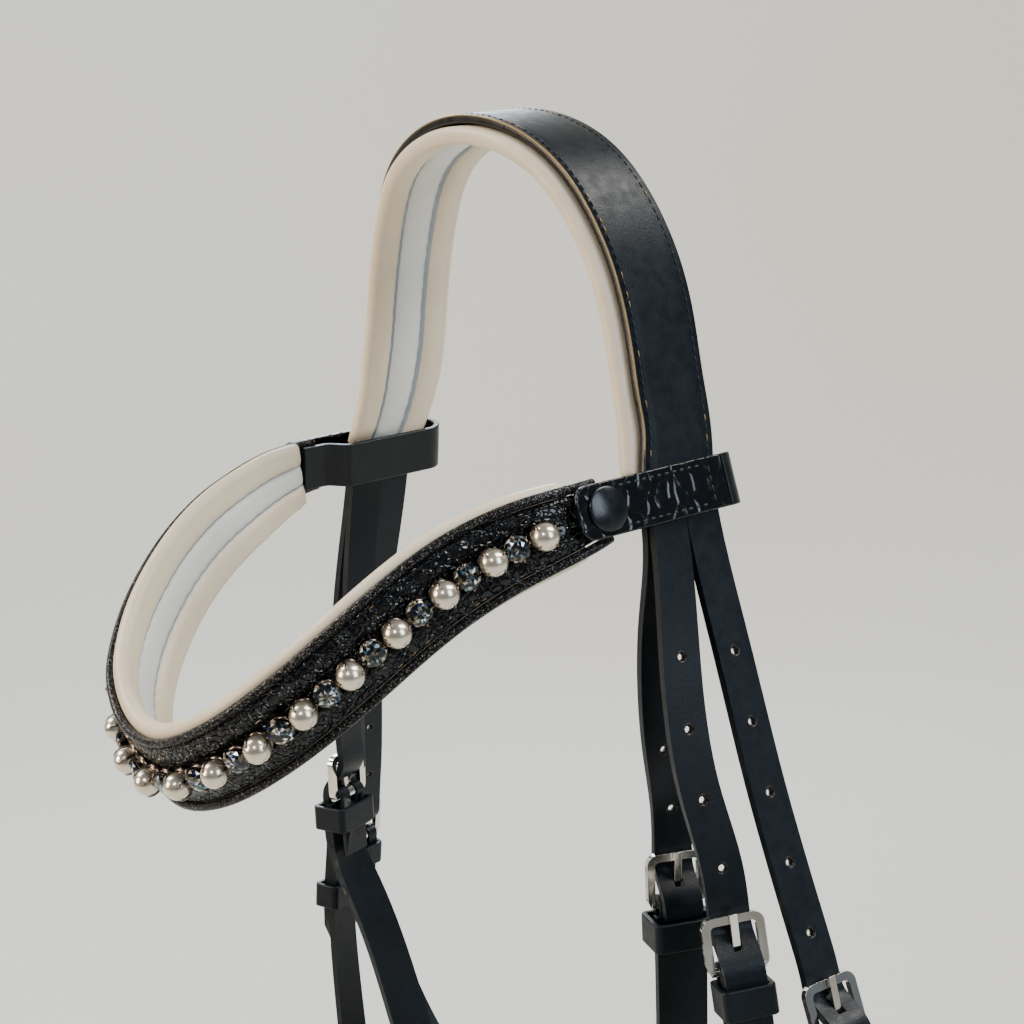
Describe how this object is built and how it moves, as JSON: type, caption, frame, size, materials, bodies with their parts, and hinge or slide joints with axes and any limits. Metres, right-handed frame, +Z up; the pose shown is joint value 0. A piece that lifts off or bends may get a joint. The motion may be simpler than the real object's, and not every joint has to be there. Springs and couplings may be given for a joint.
{
  "type": "snaffle bridle",
  "caption": "Black leather snaffle bridle with padded headpiece, curved browband set with pearls and dark crystals, buckled cheekpieces, noseband, throatlash and a jointed loose-ring bit.",
  "frame": {"origin": "underside of the headpiece's crown, on the middle plane, where it rests on the poll or on a bridle rack", "axes": "+Z up; the horse faces -Y; +X is the horse's left side"},
  "size_m": [0.3047, 0.2288, 0.5403],
  "materials": {
    "black_leather": "satin smooth",
    "patent_leather": "crackled high gloss",
    "headpiece_lining": "soft satin",
    "browband_lining": "soft satin",
    "nosepiece_lining": "soft satin",
    "glitter_piping": "metallic glitter",
    "pearls": "pearl",
    "crystals": "faceted, polished",
    "stone_settings": "gunmetal",
    "snap_cap": "satin black",
    "nickel": "polished nickel plate",
    "bit_steel": "polished"
  },
  "bodies": {
    "headstall": {"headpiece_leather": "black_leather", "headpiece_lining": "headpiece_lining", "cheek_billet_left": "black_leather", "cheek_billet_right": "black_leather", "cheekpiece_left": "black_leather", "cheekpiece_right": "black_leather", "cheek_buckle_left": "nickel", "cheek_buckle_right": "nickel", "cheek_keeper_left": "black_leather", "cheek_keeper_right": "black_leather", "hook_studs": "nickel", "throat_billet_left": "black_leather", "throat_buckle_left": "nickel", "throat_keeper_left": "black_leather", "throat_billet_right": "black_leather", "throat_buckle_right": "nickel", "throat_keeper_right": "black_leather", "throatlash": "black_leather", "noseband_billet_left": "black_leather", "noseband_strap_left": "black_leather", "noseband_buckle_left": "nickel", "noseband_keeper_left": "black_leather", "noseband_billet_right": "black_leather", "noseband_strap_right": "black_leather", "noseband_buckle_right": "nickel", "noseband_keeper_right": "black_leather", "nosepiece": "black_leather", "nosepiece_lining": "nosepiece_lining", "browband_strap": "patent_leather", "browband_lining": "browband_lining", "browband_piping": "glitter_piping", "browband_pearls": "pearls", "browband_crystals": "crystals", "stone_settings": "stone_settings", "browband_loop_left": "patent_leather", "browband_loop_right": "patent_leather", "snap_studs": "nickel", "jaw_strap": "black_leather", "jaw_buckle": "nickel", "jaw_keeper": "black_leather"},
    "snap_tab_left": {"snap_tab_left": "patent_leather", "snap_cap_left": "snap_cap", "snap_socket_left": "nickel"},
    "cheek_tongue_left": {"cheek_tongue_left": "nickel"},
    "throat_tongue_left": {"throat_tongue_left": "nickel"},
    "noseband_tongue_left": {"noseband_tongue_left": "nickel"},
    "cheek_runner_left": {"cheek_runner_left": "black_leather"},
    "snap_tab_right": {"snap_tab_right": "patent_leather", "snap_cap_right": "snap_cap", "snap_socket_right": "nickel"},
    "cheek_tongue_right": {"cheek_tongue_right": "nickel"},
    "throat_tongue_right": {"throat_tongue_right": "nickel"},
    "noseband_tongue_right": {"noseband_tongue_right": "nickel"},
    "cheek_runner_right": {"cheek_runner_right": "black_leather"},
    "jaw_tongue": {"jaw_tongue": "nickel"},
    "bit_ring_left": {"bit_ring_left": "bit_steel"},
    "mouthpiece_left": {"bit_mouth_left": "bit_steel"},
    "bit_ring_right": {"bit_ring_right": "bit_steel"},
    "mouthpiece_right": {"bit_mouth_right": "bit_steel"}
  },
  "joints": [
    {"name": "snap_tab_left_hinge", "type": "hinge", "parent": "headstall", "child": "snap_tab_left", "pos_m": [0.09203, 0.0163, -0.10966], "axis": [-0.2351, 0, 0.972], "range_deg": [0, 110]},
    {"name": "cheek_tongue_left_hinge", "type": "hinge", "parent": "headstall", "child": "cheek_tongue_left", "pos_m": [0.1166, -0.0162, -0.2534], "axis": [0.4032, 0.9148, 0.025], "range_deg": [0, 12]},
    {"name": "throat_tongue_left_hinge", "type": "hinge", "parent": "headstall", "child": "throat_tongue_left", "pos_m": [0.1412, 0.0008, -0.2726], "axis": [0.0508, 0.9987, 0.005], "range_deg": [0, 12]},
    {"name": "noseband_tongue_left_hinge", "type": "hinge", "parent": "headstall", "child": "noseband_tongue_left", "pos_m": [0.0804, -0.0092, -0.2445], "axis": [0.3084, 0.9492, -0.0631], "range_deg": [0, 12]},
    {"name": "cheek_runner_left_slide", "type": "slide", "parent": "headstall", "child": "cheek_runner_left", "axis": [-0.0341, 0.1448, 0.9889], "range_m": [-0.008, 0.008]},
    {"name": "snap_tab_right_hinge", "type": "hinge", "parent": "headstall", "child": "snap_tab_right", "pos_m": [-0.09203, 0.0163, -0.10966], "axis": [-0.2351, 0, -0.972], "range_deg": [0, 110]},
    {"name": "cheek_tongue_right_hinge", "type": "hinge", "parent": "headstall", "child": "cheek_tongue_right", "pos_m": [-0.1166, -0.0162, -0.2534], "axis": [0.4032, -0.9148, -0.025], "range_deg": [0, 12]},
    {"name": "throat_tongue_right_hinge", "type": "hinge", "parent": "headstall", "child": "throat_tongue_right", "pos_m": [-0.136, -0.003, -0.28], "axis": [0.1713, -0.9851, -0.0119], "range_deg": [0, 12]},
    {"name": "noseband_tongue_right_hinge", "type": "hinge", "parent": "headstall", "child": "noseband_tongue_right", "pos_m": [-0.098, -0.027, -0.2445], "axis": [0.3742, -0.9261, 0.0481], "range_deg": [0, 12]},
    {"name": "cheek_runner_right_slide", "type": "slide", "parent": "headstall", "child": "cheek_runner_right", "axis": [0.0341, 0.1448, 0.9889], "range_m": [-0.008, 0.008]},
    {"name": "jaw_tongue_hinge", "type": "hinge", "parent": "headstall", "child": "jaw_tongue", "pos_m": [0.06734, 0.02418, -0.37981], "axis": [-0.0103, 0.0685, -0.9976], "range_deg": [0, 12]},
    {"name": "bit_ring_left_turn", "type": "hinge", "parent": "headstall", "child": "bit_ring_left", "pos_m": [0.07, -0.038, -0.489], "axis": [1, 0, 0], "continuous": true},
    {"name": "mouthpiece_left_swing", "type": "hinge", "parent": "headstall", "child": "mouthpiece_left", "pos_m": [0.07, -0.038, -0.489], "axis": [1, 0, 0], "range_deg": [-60, 60]},
    {"name": "bit_ring_right_turn", "type": "hinge", "parent": "headstall", "child": "bit_ring_right", "pos_m": [-0.07, -0.038, -0.489], "axis": [1, 0, 0], "continuous": true},
    {"name": "mouthpiece_right_swing", "type": "hinge", "parent": "headstall", "child": "mouthpiece_right", "pos_m": [-0.07, -0.038, -0.489], "axis": [1, 0, 0], "range_deg": [-60, 60]}
  ],
  "couplings": [
    {"joint": "mouthpiece_right_swing", "follows": "mouthpiece_left_swing", "ratio": 1}
  ]
}
